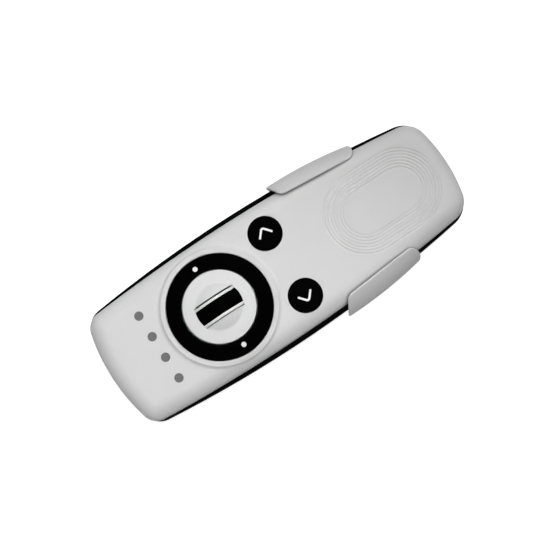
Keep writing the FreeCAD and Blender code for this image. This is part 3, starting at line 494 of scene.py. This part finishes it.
def make_floor():
    """A wide floor that looks white and still takes the soft shadow."""
    bpy.ops.mesh.primitive_plane_add(size=FLOOR_SIZE, location=(0, 0, 0))
    floor = bpy.context.object
    floor.name = "studio_floor"
    material, tree, shader = new_material("studio_white")
    shader.inputs["Base Color"].default_value = (*FLOOR_GREY, 1)
    shader.inputs["Roughness"].default_value = 0.9
    shader.inputs["Specular IOR Level"].default_value = 0.0
    shader.inputs["Emission Color"].default_value = (1, 1, 1, 1)
    glow = node(tree, "MapRange", To_Min=0.0, To_Max=FLOOR_GLOW)
    tree.links.new(seen(tree), glow.inputs["Value"])
    tree.links.new(glow.outputs["Result"], shader.inputs["Emission Strength"])
    floor.data.materials.append(material)
    print(floor.name, "is", FLOOR_SIZE, "m wide")


make_floor()

# %% [markdown]
# ## Fill light from all round
# The white walls of a studio fill the shadows with a weak light from every side. The world does
# that here. A dome of lamps would give the same fill with more noise and more to set up. Two
# Background shaders are mixed: the weak one lights the object, the white one is what is seen.

# %% World
AMBIENT = 0.19
world = bpy.data.worlds.new("studio")
bpy.context.scene.world = world
world.use_nodes = True
sky = world.node_tree
fill = sky.nodes["Background"]
fill.inputs["Color"].default_value = (1, 1, 1, 1)
fill.inputs["Strength"].default_value = AMBIENT
white = node(sky, "Background", Color=(1, 1, 1, 1), Strength=1.0)
choice = node(sky, "MixShader")
sky.links.new(seen(sky), choice.inputs["Fac"])
sky.links.new(fill.outputs["Background"], choice.inputs[1])
sky.links.new(white.outputs["Background"], choice.inputs[2])
sky.links.new(choice.outputs["Shader"], sky.nodes["World Output"].inputs["Surface"])
print("fill light:", AMBIENT, "of white")

# %% [markdown]
# ## Soft boxes
# Plastic is photographed under soft boxes, which are large lamps behind white cloth. An area lamp
# is the same thing, and a small spot lamp would cut hard shadows instead. The helper places one
# by its compass direction and tilt. Its spread can be narrowed, like a grid in front of the
# cloth, which gives the pool of light an edge.


# %% A soft box
def level(direction):
    """A level unit vector towards a compass direction in degrees."""
    return Vector((math.cos(math.radians(direction)), math.sin(math.radians(direction)), 0))


def soft_box(name, azimuth, tilt, distance, size, watts, aim=(0, 0, 0), edge=0, spread=180):
    """A square area lamp at a tilt from the vertical, facing its aim point."""
    lamp_data = bpy.data.lights.new(name, "AREA")
    lamp_data.shape = "SQUARE"
    lamp_data.size = size
    lamp_data.energy = watts
    lamp_data.spread = math.radians(spread)
    lamp = bpy.data.objects.new(name, lamp_data)
    bpy.context.collection.objects.link(lamp)
    lean = math.radians(tilt)
    back = level(azimuth) * math.sin(lean) + Vector((0, 0, math.cos(lean)))
    across = back.cross(level(edge)).normalized()
    turn = Matrix((across.cross(back), across, back)).transposed()
    lamp.matrix_world = Matrix.Translation(Vector(aim) + back * distance) @ turn.to_4x4()
    lamp.visible_camera = False
    print(name, "at", [round(value, 2) for value in lamp.matrix_world.translation], "m")


print("helpers made: level and soft_box")

# %% [markdown]
# ## The two lamps of this picture
# The main lamp hangs almost overhead. Its pool of light ends about where the remote's coil end
# lies, which is why the face darkens gently from the lamp windows towards the coil. The second
# one stands lower, on the side of the upper arm. It lights that arm and leaves the lower arm in
# half shade. One large lamp would be simpler, but both arms would look the same under it. The
# powers and directions were found by comparing the render with the photograph.

# %% Lamps
KEY_SIZE = 0.5
KEY_EDGE = 30
KEY_REACH = 0.053
key_aim = level(KEY_EDGE) * (KEY_REACH - KEY_SIZE / 2)
soft_box("key_soft_box", azimuth=35, tilt=5, distance=0.6, size=KEY_SIZE, watts=0.50,
         aim=key_aim, edge=KEY_EDGE, spread=15)
soft_box("side_soft_box", azimuth=42, tilt=58, distance=0.8, size=0.5, watts=1.9)

# %% [markdown]
# ## Camera
# The picture was taken from well back with a long lens, almost straight above the remote, so
# there is hardly any perspective. The remote lies turned by about a third of a right angle in it.
# The remote could be turned under the camera, but turning the camera leaves the object where the
# CAD model has it.

# %% Camera
VIEW_DISTANCE = 1.2
VIEW_TILT = 3.6
VIEW_TURN = 33.1
VIEW_AIM = Vector((-2.70, 2.52, 18.4)) * MM
FOCAL_LENGTH = 269.5
SENSOR_WIDTH = 36.0
lean = math.radians(VIEW_TILT)
back = Vector((0, -math.sin(lean), math.cos(lean)))
right = level(90 - VIEW_TURN).cross(back).normalized()
turn = Matrix((right, back.cross(right), back)).transposed()
camera_data = bpy.data.cameras.new("camera")
camera_data.sensor_width = SENSOR_WIDTH
camera_data.lens = FOCAL_LENGTH
camera_data.clip_start = 0.05
camera_data.clip_end = 20.0
camera = bpy.data.objects.new("camera", camera_data)
bpy.context.collection.objects.link(camera)
camera.matrix_world = Matrix.Translation(VIEW_AIM + back * VIEW_DISTANCE) @ turn.to_4x4()
bpy.context.scene.camera = camera
bpy.context.scene.view_settings.view_transform = "Standard"
print("camera at", [round(value, 3) for value in camera.matrix_world.translation], "m")
